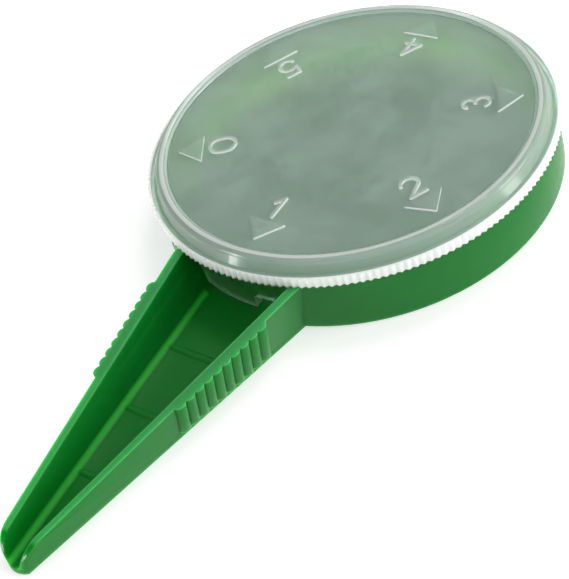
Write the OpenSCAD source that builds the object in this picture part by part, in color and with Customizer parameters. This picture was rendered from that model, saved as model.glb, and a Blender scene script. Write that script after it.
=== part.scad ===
// Dial seed sower: a shallow round pan with an open chute, closed by a clear dial that turns on it.
// The dial's axis is Z, the chute points along +X, and the underside lies on z = 0. Sizes are in mm.

/* [Pan] */
// Outer radius of the pan
pan_r = 31.2; // [28:0.1:38]
// Height of the pan's rim above the ground
pan_h = 8.8; // [7.5:0.1:13]
// Thickness of the pan's wall
pan_wall = 1.4; // [1.1:0.1:2.2]
// Thickness of the floor under the pan and the chute
floor_t = 1; // [0.8:0.1:1.6]
// Radius of the rounded edge under the pan
foot_round = 0.8; // [0.2:0.1:1]

/* [Chute] */
// Distance from the dial's axis to the tip
tip_reach = 82.8; // [70:0.2:100]
// Width over the foot of the chute where it leaves the pan
mouth_w = 18.9; // [16:0.1:24]
// Width over the foot of the chute at the tip
tip_w = 3.7; // [3.6:0.1:8]
// Height of the side walls at the tip, before they curve down
tip_h = 4.4; // [4.2:0.1:6.5]
// Radius of the curve that brings the side walls down at the tip
tip_round = 4.5; // [2:0.1:4.5]
// Thickness of the side walls where they leave the pan
side_wall = 1.4; // [1:0.1:1.6]
// Thickness of the side walls at the tip
tip_wall = 0.9; // [0.8:0.1:1.4]
// Outward lean of the side walls, in degrees
side_lean = 11.6; // [4:0.2:16]
// Radius of the fillet between the chute's floor and its side walls
valley_round = 1.2; // [0.3:0.1:1.4]

/* [Floor ridges] */
// Number of low ridges across the chute's floor
ridge_n = 3; // [1:1:4]
// Distance from the pan to the first ridge
ridge_start = 10.1; // [6:0.1:14]
// Distance between ridges
ridge_pitch = 12.2; // [8:0.1:15]
// Height of a ridge above the floor
ridge_h = 0.2; // [0.1:0.05:0.5]
// Radius of a ridge's rounded back
ridge_round = 1.1; // [0.8:0.1:1.6]

/* [Finger grips] */
// Number of ribs on each side wall
rib_n = 10; // [4:1:14]
// Distance from the pan to the first rib
rib_start = 6.2; // [4:0.1:10]
// Distance between ribs
rib_pitch = 1.75; // [1.5:0.05:2.2]
// Radius of a rib
rib_r = 1.05; // [0.9:0.05:1.3]
// How far a rib stands out of the wall
rib_out = 0.85; // [0.5:0.05:0.9]
// Height of the ribs' lower ends above the ground
rib_foot = 1.3; // [0.4:0.1:2]

/* [Dial] */
// Overhang of the dial's flange past the pan
flange_over = 0.8; // [0.5:0.1:2]
// Thickness of the flange
flange_t = 1.6; // [1:0.1:2.5]
// Number of serrations around the flange
tooth_n = 180; // [120:6:216]
// Depth of the serrations
tooth_d = 0.35; // [0.15:0.05:0.45]
// Height of the raised rim above the flange
rim_h = 1.95; // [1.6:0.05:4]
// Width of the raised rim at its top
rim_w = 1.85; // [1.4:0.05:2.4]
// Step from the skirt out to the rim
rim_step = 0.65; // [0.2:0.05:0.8]
// Spread of the rim's sloping outer wall down to the flange
rim_flare = 0.6; // [0.2:0.05:0.8]
// Radius of the rim's rounded edges
rim_round = 0.75; // [0.2:0.05:0.8]
// Drop from the rim's top to the numbered plate
plate_drop = 0.45; // [0.3:0.05:0.8]
// Thickness of the numbered plate
plate_t = 1.2; // [0.8:0.1:1.4]
// Thickness of the skirt that runs inside the pan
skirt_wall = 1.25; // [0.9:0.05:1.8]
// Turn of the dial past its "1" setting, in degrees
dial_turn = 4; // [-30:1:30]

/* [Running fit] */
// Clearance between the skirt and the pan's wall
turn_gap = 0.15; // [0.08:0.01:0.3]
// Clearance between the flange and the pan's rim
seat_gap = 0.15; // [0.1:0.05:0.5]
// Clearance between the skirt and the floor
skirt_gap = 0.15; // [0.1:0.05:0.5]
// Radius of the bead that snaps the skirt into the pan
bead_r = 0.45; // [0.35:0.05:0.5]
// How far the bead stands out of the skirt
bead_out = 0.3; // [0.2:0.05:0.3]
// Drop from the pan's rim to the bead
bead_drop = 2; // [1.6:0.1:3]

/* [Seed gates] */
// Width of the smallest gate
gate_w = 3.4; // [1.5:0.1:4]
// How much wider each gate is than the last
gate_w_step = 1.1; // [0.6:0.1:1.3]
// Height of the smallest gate
gate_h = 2.2; // [1.5:0.1:2.4]
// How much higher each gate is than the last
gate_h_step = 0.7; // [0.4:0.05:0.8]
// Radius of a gate's upper corners
gate_round = 0.4; // [0.2:0.05:0.7]
// Turn from a pointer to the middle of its gate, in degrees
gate_lead = 2; // [-4:0.5:4]

/* [Numerals] */
// Height of a numeral
digit_h = 4.1; // [3:0.1:5]
// Width of a numeral
digit_w = 2.7; // [2:0.1:3]
// Width of the line that numerals are drawn with
stroke = 0.5; // [0.3:0.05:0.6]
// Height by which numerals and pointers stand out of the plate
mark_out = 0.35; // [0.15:0.05:0.4]
// Width of a triangular pointer
mark_w = 6.2; // [4:0.1:8]
// Length of a triangular pointer
mark_h = 3.9; // [2.5:0.1:4.5]
// Distance from a pointer's apex to the raised rim
mark_inset = 1.8; // [1:0.1:4]
// Distance between a pointer and its numeral
mark_gap = 1.1; // [0.5:0.1:2.5]

/* [Hidden] */
$fn = 96;

// A small overlap that joins touching shapes, one that lets curves cross where they would only touch,
// and a size larger than the whole part
weld = 0.1;
cross = 0.02;
far = 3 * tip_reach;

// The pan's bore, and the chute's taper and fall between the pan and the tip
bore_r = pan_r - pan_wall;
chute_len = tip_reach - pan_r;
side_slope = (mouth_w - tip_w) / 2 / chute_len;
side_taper = atan(side_slope);
inner_half = mouth_w / 2 - side_wall / cos(side_lean);
inner_half_tip = tip_w / 2 - tip_wall / cos(side_lean);
inner_taper = atan((inner_half - inner_half_tip) / chute_len);
top_slope = (pan_h - tip_h) / chute_len;
top_fall = atan(top_slope);
// The tip's outline seen from above is as wide as the walls are where it starts
nose_r = (tip_w / 2 + tip_h * tan(side_lean)) / (1 - side_slope);

// The dial's radii and heights follow the pan's
skirt_r = bore_r - turn_gap;
skirt_in_r = skirt_r - skirt_wall;
rim_r = skirt_r + rim_step;
plate_r = rim_r - rim_w;
flange_r = pan_r + flange_over;
skirt_z = floor_t + skirt_gap;
flange_z = pan_h + seat_gap;
rim_z = flange_z + flange_t;
top_z = rim_z + rim_h;
plate_z = top_z - plate_drop;
bead_z = pan_h - bead_drop;
bead_axis_r = skirt_r + bead_out - bead_r;

// The dial has six settings: 0 is closed, and 1 to 5 have a gate each
setting_n = 6;
setting_angle = 360 / setting_n;
mark_r = plate_r - mark_inset;
digit_r = mark_r - mark_h - mark_gap - digit_h / 2;

function setting_turn(number) = dial_turn + setting_angle * (number - 1);
function gate_width(number) = gate_w + gate_w_step * (number - 1);
function gate_height(number) = gate_h + gate_h_step * (number - 1);

// Round disc whose lower edge is rounded
module pan_body() {
    rotate_extrude() {
        square([pan_r - foot_round, pan_h]);
        translate([0, foot_round])
            square([pan_r, pan_h - foot_round]);
        translate([pan_r - foot_round, foot_round])
            circle(foot_round);
    }
}

// Seed chamber in the pan, with the groove that takes the dial's snap bead
module pan_bore() {
    rotate_extrude() {
        translate([0, floor_t])
            square([bore_r, pan_h]);
        translate([bead_axis_r, bead_z])
            circle(bead_r + turn_gap);
    }
}

// Frame at the foot of a side wall's face on +Y: X runs along the face, Y points out of it
module at_side(half, taper) {
    translate([pan_r, half, 0])
        rotate([0, 0, -taper])
            children();
}

// Space outside a side wall's face on +Y
module past_side(half, taper) {
    at_side(half, taper)
        rotate([-side_lean, 0, 0])
            translate([-far, 0, -far])
                cube([2 * far, far, 2 * far]);
}

module past_both_sides(half, taper) {
    past_side(half, taper);
    mirror([0, 1, 0])
        past_side(half, taper);
}

// Side view of the chute: a falling top edge that curves down to the tip
module chute_side_view() {
    round_x = tip_reach - tip_round;
    round_z = tip_h + top_slope * tip_round - tip_round / cos(top_fall);
    touch = [round_x + tip_round * sin(top_fall), round_z + tip_round * cos(top_fall)];
    intersection() {
        union() {
            polygon([
                [0, 0], [tip_reach, 0], [tip_reach, round_z], [round_x, round_z],
                touch, [pan_r, pan_h], [0, pan_h]
            ]);
            translate([round_x, round_z])
                circle(tip_round);
        }
        square([tip_reach, pan_h]);
    }
}

// Outline of the chute seen from above, which only shapes the rounded tip
module chute_top_view() {
    translate([0, -mouth_w])
        square([tip_reach - nose_r, 2 * mouth_w]);
    translate([tip_reach - nose_r, 0])
        circle(nose_r);
}

module chute_body() {
    difference() {
        intersection() {
            rotate([90, 0, 0])
                linear_extrude(height = 2 * mouth_w, center = true)
                    chute_side_view();
            linear_extrude(height = pan_h)
                chute_top_view();
        }
        past_both_sides(mouth_w / 2, side_taper);
    }
}

// Fillet along the foot of the inner face on +Y
module valley_fillet() {
    corner_y = floor_t * tan(side_lean);
    run = valley_round * tan(45 - side_lean / 2);
    wall_touch = [corner_y + run * sin(side_lean), floor_t + run * cos(side_lean)];
    at_side(inner_half, inner_taper)
        translate([-pan_wall - pan_r / 4, 0, 0])
            rotate([90, 0, 90])
                linear_extrude(height = far)
                    difference() {
                        polygon([
                            [corner_y - run, floor_t - weld], [corner_y + weld, floor_t - weld],
                            [wall_touch[0] + weld, wall_touch[1]], wall_touch,
                            [corner_y - run, floor_t + valley_round]
                        ]);
                        translate([corner_y - run, floor_t + valley_round])
                            circle(valley_round + cross);
                    }
}

// Low round-backed ridges across the floor, which even out the flow of seeds
module floor_ridges() {
    last_x = tip_reach - tip_round;
    for (i = [0 : ridge_n - 1]) {
        x = pan_r + ridge_start + i * ridge_pitch;
        if (x < last_x)
            translate([x, 0, floor_t + ridge_h - ridge_round])
                rotate([90, 0, 0])
                    cylinder(h = mouth_w, r = ridge_round, center = true);
    }
}

// Trough between the side walls, open at the top and at both ends
module chute_trough() {
    difference() {
        translate([0, -mouth_w, floor_t])
            cube([far, 2 * mouth_w, pan_h]);
        past_both_sides(inner_half, inner_taper);
        valley_fillet();
        mirror([0, 1, 0])
            valley_fillet();
        floor_ridges();
    }
}

// Round ribs up the outside of the wall on +Y, flush with its top edge
module grip_ribs() {
    intersection() {
        for (i = [0 : rib_n - 1])
            at_side(mouth_w / 2, side_taper)
                rotate([-side_lean, 0, 0])
                    translate([(rib_start + i * rib_pitch) / cos(side_taper), rib_out - rib_r, 0])
                        cylinder(h = 2 * pan_h, r = rib_r);
        rotate([90, 0, 0])
            linear_extrude(height = 2 * mouth_w, center = true)
                difference() {
                    chute_side_view();
                    square([far, rib_foot]);
                }
    }
}

// One moulding: pan, open chute, finger grips and the details of the chute's floor
module pan_and_chute() {
    color("forestgreen")
        difference() {
            union() {
                pan_body();
                chute_body();
                grip_ribs();
                mirror([0, 1, 0])
                    grip_ribs();
            }
            chute_trough();
            pan_bore();
        }
}

// Numbered plate, raised rim, skirt and snap bead, turned about the dial's axis
module dial_shell() {
    under_z = plate_z - plate_t;
    round_z = top_z - rim_round;
    rotate_extrude() {
        translate([0, under_z])
            square([plate_r + rim_round, plate_t]);
        polygon([
            [skirt_in_r, flange_z + weld], [rim_r + rim_flare, flange_z + weld],
            [rim_r + rim_flare, rim_z], [rim_r, round_z], [plate_r, round_z],
            [plate_r, under_z], [skirt_in_r, under_z]
        ]);
        translate([plate_r + rim_round, under_z])
            square([rim_w - 2 * rim_round, top_z - under_z]);
        for (r = [plate_r + rim_round, rim_r - rim_round])
            translate([r, round_z])
                circle(rim_round);
        translate([skirt_in_r, skirt_z])
            square([skirt_wall, under_z + weld - skirt_z]);
        translate([bead_axis_r, bead_z])
            circle(bead_r);
    }
}

// Flat ring whose edge is cut into fine serrations
module flange_ring() {
    half_tooth = 180 / tooth_n;
    translate([0, 0, flange_z])
        linear_extrude(height = flange_t)
            difference() {
                polygon([
                    for (i = [0 : 2 * tooth_n - 1])
                        let (r = flange_r - (i % 2) * tooth_d)
                            [r * cos(i * half_tooth), r * sin(i * half_tooth)]
                ]);
                circle(skirt_in_r);
            }
}

// Opening in the skirt with rounded upper corners, open at its lower edge
module seed_gate(number) {
    half = gate_width(number) / 2;
    gate_top = skirt_z + gate_height(number);
    rotate([0, 0, setting_turn(number) + gate_lead])
        translate([skirt_in_r - skirt_wall, 0, 0])
            rotate([90, 0, 90])
                linear_extrude(height = 3 * skirt_wall) {
                    translate([-half, 0])
                        square([2 * half, gate_top - gate_round]);
                    translate([gate_round - half, 0])
                        square([2 * half - 2 * gate_round, gate_top]);
                    for (y = [gate_round - half, half - gate_round])
                        translate([y, gate_top - gate_round])
                            circle(gate_round);
                }
}

// Round end of a line
module line_end(p) {
    translate(p)
        circle(d = stroke + cross);
}

// Line of the numerals from p to q
module line_to(p, q) {
    run = q - p;
    translate(p)
        rotate(atan2(run[1], run[0]))
            translate([0, -stroke / 2])
                square([norm(run), stroke]);
    line_end(p);
    line_end(q);
}

// Point at an angle on the circle of radius r about c
function on_circle(c, r, angle) = c + r * [cos(angle), sin(angle)];

// Arc of the numerals about centre c, from angle a0 to a1
module arc_line(c, r, a0, a1) {
    mid = (a0 + a1) / 2;
    intersection() {
        translate(c)
            difference() {
                circle(r + stroke / 2);
                circle(r - stroke / 2);
            }
        polygon([
            c,
            for (angle = [a0, (a0 + mid) / 2, mid, (mid + a1) / 2, a1])
                on_circle(c, 2 * r + stroke, angle)
        ]);
    }
    line_end(on_circle(c, r, a0));
    line_end(on_circle(c, r, a1));
}

// A numeral from 0 to 5, centred, with its top towards +Y
module numeral(number) {
    w = digit_w / 2;
    h = digit_h / 2;
    upper = [0, h - w];
    lower = [0, w - h];
    if (number == 0) {
        wide = w * 1.2;
        arc_line([0, h - wide], wide, 0, 180);
        arc_line([0, wide - h], wide, 180, 360);
        line_to([wide, h - wide], [wide, wide - h]);
        line_to([-wide, h - wide], [-wide, wide - h]);
    }
    if (number == 1) {
        line_to([0, -h], [0, h]);
        line_to([0, h], [-w * 0.8, h - w]);
    }
    if (number == 2) {
        arc_line(upper, w, -30, 165);
        line_to(on_circle(upper, w, -30), [-w, -h]);
        line_to([-w, -h], [w, -h]);
    }
    if (number == 3) {
        top_r = h * 0.47;
        foot_r = h - top_r + 2 * cross;
        arc_line([0, h - top_r], top_r, -90, 155);
        arc_line([0, foot_r - h], foot_r, -155, 90);
    }
    if (number == 4) {
        bar_y = -h * 0.4;
        stem_x = w * 0.4;
        line_to([stem_x, h], [-w, bar_y]);
        line_to([-w, bar_y], [w, bar_y]);
        line_to([stem_x, h], [stem_x, -h]);
    }
    if (number == 5) {
        shoulder = on_circle(lower, w, 140);
        corner = [-w * 0.65, h];
        line_to(corner, [w * 0.9, h]);
        line_to(corner, shoulder);
        arc_line(lower, w, -150, 140);
    }
}

// Triangular pointer, with its apex towards -Y at the origin
module pointer() {
    polygon([[-mark_w / 2, mark_h], [mark_w / 2, mark_h], [0, 0]]);
}

// Numerals with their tops towards the axis, each with a pointer to the rim
module dial_marks() {
    translate([0, 0, plate_z - weld])
        linear_extrude(height = mark_out + weld)
            for (number = [0 : setting_n - 1])
                rotate(setting_turn(number)) {
                    translate([digit_r, 0])
                        rotate(90)
                            numeral(number);
                    translate([mark_r, 0])
                        rotate(90)
                            pointer();
                }
}

// One clear moulding: plate and rim, serrated flange, and the skirt with its five gates
module dial_lid() {
    color([0.82, 0.93, 0.88, 0.5]) {
        difference() {
            union() {
                dial_shell();
                flange_ring();
            }
            for (number = [1 : setting_n - 1])
                seed_gate(number);
        }
        dial_marks();
    }
}

pan_and_chute();
dial_lid();
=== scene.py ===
import math

import bpy
import bmesh
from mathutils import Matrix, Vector


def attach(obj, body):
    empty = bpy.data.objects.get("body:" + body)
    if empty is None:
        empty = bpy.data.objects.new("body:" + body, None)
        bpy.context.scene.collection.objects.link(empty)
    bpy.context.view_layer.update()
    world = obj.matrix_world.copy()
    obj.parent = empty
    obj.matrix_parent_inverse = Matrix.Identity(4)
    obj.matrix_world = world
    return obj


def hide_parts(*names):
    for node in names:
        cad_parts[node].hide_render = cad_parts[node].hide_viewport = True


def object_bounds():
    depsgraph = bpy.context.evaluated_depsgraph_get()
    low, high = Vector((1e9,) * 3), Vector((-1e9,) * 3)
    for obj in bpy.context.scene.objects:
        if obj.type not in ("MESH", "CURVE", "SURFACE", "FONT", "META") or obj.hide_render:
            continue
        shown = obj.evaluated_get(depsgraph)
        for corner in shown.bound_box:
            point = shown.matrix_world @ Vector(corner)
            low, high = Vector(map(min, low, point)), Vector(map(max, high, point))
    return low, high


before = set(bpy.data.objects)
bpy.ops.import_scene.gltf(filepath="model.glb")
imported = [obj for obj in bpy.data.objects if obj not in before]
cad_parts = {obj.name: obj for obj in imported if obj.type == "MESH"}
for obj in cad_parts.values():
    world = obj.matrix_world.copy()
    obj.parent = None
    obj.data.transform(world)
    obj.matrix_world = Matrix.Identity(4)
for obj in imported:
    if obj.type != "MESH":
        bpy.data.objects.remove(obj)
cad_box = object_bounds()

# View of the sower lying on a bench: from above the right of the chute, with the
# tip towards the viewer, through a long lens held a little askew.
lens_mm = 112.1
sensor_mm = 36
viewer_place = (0.15282, 0.15175, 0.17339)
viewer_turn_degrees = (47.164, 13.914, 126.758)
view = bpy.data.cameras.new("bench_view")
view.sensor_fit = "HORIZONTAL"
view.sensor_width = sensor_mm
view.lens = lens_mm
view.clip_start = 0.01
view.clip_end = 20
viewer = bpy.data.objects.new("bench_view", view)
viewer.location = viewer_place
viewer.rotation_euler = [math.radians(turn) for turn in viewer_turn_degrees]
bpy.context.scene.collection.objects.link(viewer)
bpy.context.scene.camera = viewer

# Bench top: a wide flat sheet of matt white laminate that the sower lies on. It is
# lit from all round, so it glows a little and stays white up to its edges.
bench_half_width = 1.5
laminate_white = "#D0D0D0"
bench_glow = 0.6


def linear(hex_colour):
    """sRGB hex colour as linear RGBA."""
    parts = [int(hex_colour[i:i + 2], 16) / 255 for i in (1, 3, 5)]
    return [c / 12.92 if c <= 0.04045 else ((c + 0.055) / 1.055) ** 2.4 for c in parts] + [1]


def add(tree, kind, settings=(), **links):
    """Adds a node of a kind, with settings and links to its sockets by name or _number."""
    node = tree.nodes.new(kind)
    for name, value in dict(settings).items():
        if isinstance(name, int) or name in node.inputs:
            node.inputs[name].default_value = value
        else:
            setattr(node, name, value)
    for name, source in links.items():
        target = node.inputs[int(name[1:]) if name[0] == "_" else name.replace("_", " ")]
        tree.links.new(source, target)
    return node


bench = bmesh.new()
bmesh.ops.create_grid(bench, x_segments=1, y_segments=1, size=bench_half_width)
bench_mesh = bpy.data.meshes.new("bench_top")
bench.to_mesh(bench_mesh)
bench.free()
bench_top = bpy.data.objects.new("bench_top", bench_mesh)
bpy.context.scene.collection.objects.link(bench_top)
laminate = bpy.data.materials.new("matt_white_laminate")
laminate.use_nodes = True
tree = laminate.node_tree
tree.nodes.clear()
sheet = add(tree, "ShaderNodeBsdfPrincipled", {
    "Base Color": linear(laminate_white), "Roughness": 0.7, "Specular IOR Level": 0.2,
    "Emission Color": (1, 1, 1, 1), "Emission Strength": bench_glow,
})
add(tree, "ShaderNodeOutputMaterial", Surface=sheet.outputs["BSDF"])
bench_mesh.materials.append(laminate)

# Soft studio light: a white tent that is bright on the right and dim on the left,
# and three round panels of soft light, low on the right, low on the left, and high.
tent_brightest_way = (-0.5, 0.87, 0)
tent_dim = 0.08
tent_bright = 1.0
panels = (
    # name, place in metres, width in metres, power in watts
    ("panel_right", (-0.32, 0.54, 0.16), 0.30, 1.8),
    ("panel_left", (0.54, -0.36, 0.09), 0.14, 1.4),
    ("panel_top", (-0.30, 0.02, 0.62), 0.25, 1.0),
)
panel_aim = Vector((0.02, 0, 0))
studio = bpy.data.worlds.new("studio")
studio.use_nodes = True
tree = studio.node_tree
tree.nodes.clear()
direction = add(tree, "ShaderNodeTexCoord").outputs["Generated"]
towards_bright = add(tree, "ShaderNodeVectorMath", {
    "operation": "DOT_PRODUCT", 1: tent_brightest_way,
}, _0=direction).outputs["Value"]
tent = add(tree, "ShaderNodeMapRange", {
    "From Min": -1.0, "From Max": 1.0, "To Min": tent_dim, "To Max": tent_bright,
}, Value=towards_bright).outputs["Result"]
cloth = add(tree, "ShaderNodeBackground", {"Color": (1, 1, 1, 1)}, Strength=tent)
add(tree, "ShaderNodeOutputWorld", Surface=cloth.outputs["Background"])
bpy.context.scene.world = studio
for name, panel_place, width, power in panels:
    panel = bpy.data.lights.new(name, "AREA")
    panel.shape = "DISK"
    panel.size = width
    panel.energy = power
    lamp = bpy.data.objects.new(name, panel)
    lamp.location = panel_place
    lamp.rotation_euler = (panel_aim - Vector(panel_place)).to_track_quat("-Z", "Y").to_euler()
    bpy.context.scene.collection.objects.link(lamp)
bpy.context.scene.view_settings.view_transform = "Standard"

# Pan and chute: the part that is held between thumb and finger, one injection
# moulding in green polypropylene. Its edges come rounded out of the mould, and the
# dial snaps into its bore.
mm = 0.001
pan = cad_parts["pan_and_chute"]
pan_r = 31.2 * mm
bore_r = 29.8 * mm
pan_top = max(corner.co.z for corner in pan.data.vertices)
floor_t = 1.0 * mm
chute_tip = cad_box[1][0]
tip_h = 4.4 * mm
floor_half_root = 8.2 * mm
floor_half_tip = 1.1 * mm
edge_round = 0.3 * mm
flat_angle = 0.5
edge_angle = 25
crease_angle = 32
same_place = 0.001 * mm
beyond = 1


def both(tree, first, second):
    """Mask that is 1 where two masks are."""
    return add(tree, "ShaderNodeMath", {"operation": "MULTIPLY"}, _0=first, _1=second).outputs["Value"]


def band(tree, value, low, high, soft):
    """Mask that is 1 where a value lies from low to high, 0 outside, with soft edges."""
    rise = add(tree, "ShaderNodeMapRange", {"From Min": low - soft, "From Max": low + soft}, Value=value)
    drop = add(tree, "ShaderNodeMapRange", {
        "From Min": high - soft, "From Max": high + soft, "To Min": 1.0, "To Max": 0.0,
    }, Value=value)
    return both(tree, rise.outputs["Result"], drop.outputs["Result"])


def off_axis(tree, point):
    """Distance of a point from the dial's axis."""
    flat = add(tree, "ShaderNodeVectorMath", {"operation": "MULTIPLY", 1: (1, 1, 0)}, _0=point)
    length = add(tree, "ShaderNodeVectorMath", {"operation": "LENGTH"}, _0=flat.outputs["Vector"])
    return length.outputs["Value"]


def along_chute(tree, x, at_root, at_tip):
    """Length that changes evenly from the chute's root to its tip."""
    return add(tree, "ShaderNodeMapRange", {
        "From Min": pan_r, "From Max": chute_tip, "To Min": at_root, "To Max": at_tip,
    }, Value=x).outputs["Result"]


def less(tree, value, taken):
    """A value less another."""
    return add(tree, "ShaderNodeMath", {"operation": "SUBTRACT"}, _0=value, _1=taken).outputs["Value"]


def tinted(tree, mask, above, below):
    """Colour above where a mask is 1, and below, a hex colour or a socket, where it is 0."""
    colours = {"data_type": "RGBA", 7: linear(above)}
    if isinstance(below, str):
        return add(tree, "ShaderNodeMix", {**colours, 6: linear(below)}, _0=mask).outputs[2]
    return add(tree, "ShaderNodeMix", colours, _0=mask, _6=below).outputs[2]


# Moulded polypropylene is satin and waxy, and light soaks a few millimetres into it.
# The bore's wall is painted lighter green and has a painted glow, which shows through
# the dial. The lips and the foot of the chute's walls are painted lighter as highlights.
# The mould's own grain is finer than the 0.4 mm that it is drawn at to show at all.
polypropylene_green = "#057622"
bore_painted_lit_green = "#7CC060"
bore_painted_glow = "#81AE59"
foot_painted_highlight_green = "#2AB235"
lip_painted_highlight_green = "#3F9A58"
grain_size = 0.4 * mm
grain_depth = 0.03 * mm
soak_depth = 3 * mm
polypropylene = bpy.data.materials.new("green_polypropylene")
polypropylene.use_nodes = True
tree = polypropylene.node_tree
tree.nodes.clear()
on_pan = add(tree, "ShaderNodeTexCoord").outputs["Object"]
pan_x, pan_y, pan_z = add(tree, "ShaderNodeSeparateXYZ", Vector=on_pan).outputs
pan_reach = off_axis(tree, on_pan)
bore = both(tree, band(tree, pan_reach, bore_r - 0.8 * mm, bore_r + 0.1 * mm, 0.05 * mm),
            band(tree, pan_z, floor_t + 0.4 * mm, pan_top - 0.3 * mm, 0.2 * mm))
over_lip = less(tree, pan_z, along_chute(tree, pan_x, pan_top, tip_h))
lips = both(tree, band(tree, over_lip, -0.2 * mm, beyond, 0.1 * mm),
            band(tree, pan_reach, pan_r - 0.7 * mm, beyond, 0.2 * mm))
aside = add(tree, "ShaderNodeMath", {"operation": "ABSOLUTE"}, _0=pan_y).outputs["Value"]
past_foot = less(tree, aside, along_chute(tree, pan_x, floor_half_root, floor_half_tip))
wall_foot = both(tree, both(tree, band(tree, past_foot, -0.6 * mm, 0.2 * mm, 0.3 * mm),
                            band(tree, pan_z, floor_t - 0.1 * mm, floor_t + 0.7 * mm, 0.2 * mm)),
                 band(tree, pan_reach, pan_r, beyond, 0.2 * mm))
away_from_mouth = band(tree, pan_x, -beyond, 18 * mm, 3 * mm)
# Painted light: the bore's wall is painted lighter green.
green = tinted(tree, bore, bore_painted_lit_green, polypropylene_green)
# Painted highlight along the foot of the chute's walls.
green = tinted(tree, wall_foot, foot_painted_highlight_green, green)
# Painted highlight on the lips.
green = tinted(tree, lips, lip_painted_highlight_green, green)
satin = add(tree, "ShaderNodeMath", {"operation": "MULTIPLY_ADD", 1: 0.4, 2: 0.27}, _0=wall_foot)
grain = add(tree, "ShaderNodeTexNoise", {"Scale": 1 / grain_size, "Detail": 2.0}, Vector=on_pan)
bump = add(tree, "ShaderNodeBump", {"Strength": 0.08, "Distance": grain_depth}, Height=grain.outputs["Fac"])
# The bore's wall has a painted glow, kept away from the chute's mouth.
waxy = add(tree, "ShaderNodeBsdfPrincipled", {
    "IOR": 1.49, "Specular IOR Level": 0.31, "Emission Color": linear(bore_painted_glow),
    "Subsurface Weight": 1.0, "Subsurface Radius": (0.15, 1.0, 0.2), "Subsurface Scale": soak_depth,
}, Base_Color=green, Roughness=satin.outputs["Value"], Normal=bump.outputs["Normal"],
    Emission_Strength=both(tree, bore, away_from_mouth))
add(tree, "ShaderNodeOutputMaterial", Surface=waxy.outputs["BSDF"])

moulding_mesh = pan.data.copy()
moulding = bpy.data.objects.new("green_moulding", moulding_mesh)
bpy.context.scene.collection.objects.link(moulding)
form = bmesh.new()
form.from_mesh(moulding_mesh)
bmesh.ops.remove_doubles(form, verts=form.verts, dist=same_place)
bmesh.ops.dissolve_limit(form, angle_limit=math.radians(flat_angle), verts=form.verts, edges=form.edges)
mould_edges = [edge for edge in form.edges
               if edge.is_manifold and edge.calc_face_angle() > math.radians(edge_angle)]
bmesh.ops.bevel(form, geom=mould_edges, offset=edge_round, offset_type="OFFSET", affect="EDGES",
                segments=2, profile=0.5, material=-1, clamp_overlap=True)
form.to_mesh(moulding_mesh)
form.free()
for face in moulding_mesh.polygons:
    face.use_smooth = True
moulding_mesh.set_sharp_from_angle(angle=math.radians(crease_angle))
moulding_mesh.materials.clear()
moulding_mesh.materials.append(polypropylene)
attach(moulding, "pan")
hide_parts("pan_and_chute")

# Dial: the clear numbered lid that closes the pan and chooses the seed gate, one
# injection moulding in polystyrene. It snaps into the pan's bore by a low bead and
# is turned by the serrations round its flange.
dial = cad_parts["dial_lid"]
flange_r = cad_box[1][1]
dial_top = cad_box[1][2]
teeth_r = flange_r - 0.5 * mm
plate_r = 28.4 * mm
plate_under = dial_top - 1.8 * mm
flange_under = dial_top - 3.7 * mm
crest_inner_r = 28.95 * mm
crest_outer_r = 29.6 * mm
mark_foot = dial_top - 0.47 * mm
mark_top = dial_top - 0.14 * mm
digits_outer_r = 22.1 * mm
skirt_inner_r = 28.2 * mm
skirt_foot = 1.35 * mm
skirt_top = 8.0 * mm

# Moulded polystyrene is glassy. The plate is milky and clouded from a stippled mould
# and fine scratches, and the sides of the raised marks are frosted. The rim's crest carries
# a painted highlight in near white, and the serrations are painted nearly white. The skirt
# is tinted green as painted light from the pan.
# Its IOR is set below the usual 1.59, which keeps the reflections as weak as they look.
glass_tint = "#DDF4E6"
skirt_painted_pan_green = "#B4E4B8"
frost_and_highlight_white = "#F0FCF1"
cloud_size = 11.1 * mm
milk_depth = 2 * mm
polystyrene = bpy.data.materials.new("clear_polystyrene")
polystyrene.use_nodes = True
tree = polystyrene.node_tree
tree.nodes.clear()
where = add(tree, "ShaderNodeTexCoord")
on_dial = where.outputs["Object"]
dial_z = add(tree, "ShaderNodeSeparateXYZ", Vector=on_dial).outputs["Z"]
facing_up = add(tree, "ShaderNodeSeparateXYZ", Vector=where.outputs["Normal"]).outputs["Z"]
dial_reach = off_axis(tree, on_dial)
plate = both(tree, band(tree, dial_reach, -beyond, plate_r, 0.2 * mm),
             band(tree, dial_z, plate_under, beyond, 0.1 * mm))
plate_edge = both(tree, band(tree, dial_reach, plate_r + 0.06 * mm, plate_r + 0.35 * mm, 0.04 * mm),
                  band(tree, dial_z, dial_top - 0.6 * mm, beyond, 0.1 * mm))
rim = both(tree, band(tree, dial_reach, plate_r, beyond, 0.2 * mm),
           band(tree, dial_z, flange_under, beyond, 0.1 * mm))
# The rim's crest carries a painted highlight in near white.
crest = both(tree, band(tree, dial_reach, crest_inner_r, crest_outer_r, 0.05 * mm),
             band(tree, dial_z, dial_top - 0.2 * mm, beyond, 0.1 * mm))
teeth = band(tree, dial_reach, teeth_r, beyond, 0.1 * mm)
upright = band(tree, facing_up, -0.5, 0.5, 0.2)
mark_sides = both(tree, both(tree, upright, plate), band(tree, dial_z, mark_foot, beyond, 0.02 * mm))
mark_tops = both(tree, plate, band(tree, dial_z, mark_top, beyond, 0.02 * mm))
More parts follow.
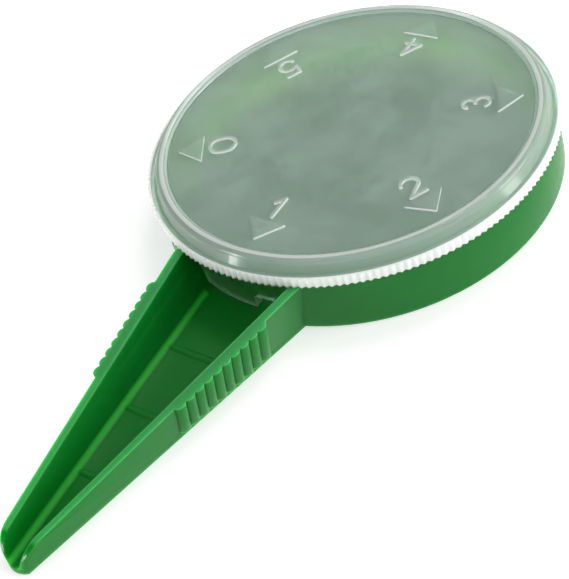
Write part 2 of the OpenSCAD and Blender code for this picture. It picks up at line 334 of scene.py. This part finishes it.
digit_tops = both(tree, mark_tops, band(tree, dial_reach, -beyond, digits_outer_r, 0.1 * mm))
skirt = both(tree, band(tree, dial_reach, skirt_inner_r, beyond, 0.1 * mm),
             band(tree, dial_z, skirt_foot + 0.15 * mm, skirt_top, 0.1 * mm))
skirt_edge = band(tree, dial_z, -beyond, skirt_foot, 0.04 * mm)
cloud = add(tree, "ShaderNodeTexNoise", {
    "Scale": 1 / cloud_size, "Detail": 3.0, "Roughness": 0.6,
}, Vector=on_dial)
clouded = add(tree, "ShaderNodeMapRange", {
    "From Min": 0.38, "From Max": 0.62, "To Min": 0.24, "To Max": 0.33,
}, Value=cloud.outputs["Fac"]).outputs["Result"]
milk = both(tree, plate, clouded)
for milky_place, amount in (
    (rim, 0.36), (crest, 0.30), (teeth, 0.72), (plate_edge, 0.2), (skirt_edge, 0.9),
    (mark_sides, 1.0), (mark_tops, 0.05), (digit_tops, 0.25),
):
    milk = add(tree, "ShaderNodeMath", {
        "operation": "MULTIPLY_ADD", 1: amount,
    }, _0=milky_place, _2=milk).outputs["Value"]
clearness = add(tree, "ShaderNodeMath", {"operation": "SUBTRACT", "use_clamp": True, 0: 1.0}, _1=milk)
stipple = add(tree, "ShaderNodeMath", {"operation": "MULTIPLY_ADD", 1: -0.16, 2: 0.28}, _0=rim)
# Near white for the crest's painted highlight, the marks' frosted sides and the serrations.
frost_and_highlight = add(tree, "ShaderNodeMath", {"operation": "MAXIMUM"}, _0=teeth, _1=mark_sides).outputs["Value"]
frost_and_highlight = add(tree, "ShaderNodeMath", {"operation": "MAXIMUM"}, _0=frost_and_highlight, _1=crest).outputs["Value"]
# The skirt's green tint is painted light from the pan.
tint = tinted(tree, frost_and_highlight, frost_and_highlight_white, tinted(tree, skirt, skirt_painted_pan_green, glass_tint))
glassy = add(tree, "ShaderNodeBsdfPrincipled", {
    "IOR": 1.45,
    "Subsurface Weight": 1.0, "Subsurface Radius": (1, 1, 1), "Subsurface Scale": milk_depth,
}, Base_Color=tint, Transmission_Weight=clearness.outputs["Value"], Roughness=stipple.outputs["Value"])
add(tree, "ShaderNodeOutputMaterial", Surface=glassy.outputs["BSDF"])
dial.data.materials.clear()
dial.data.materials.append(polystyrene)
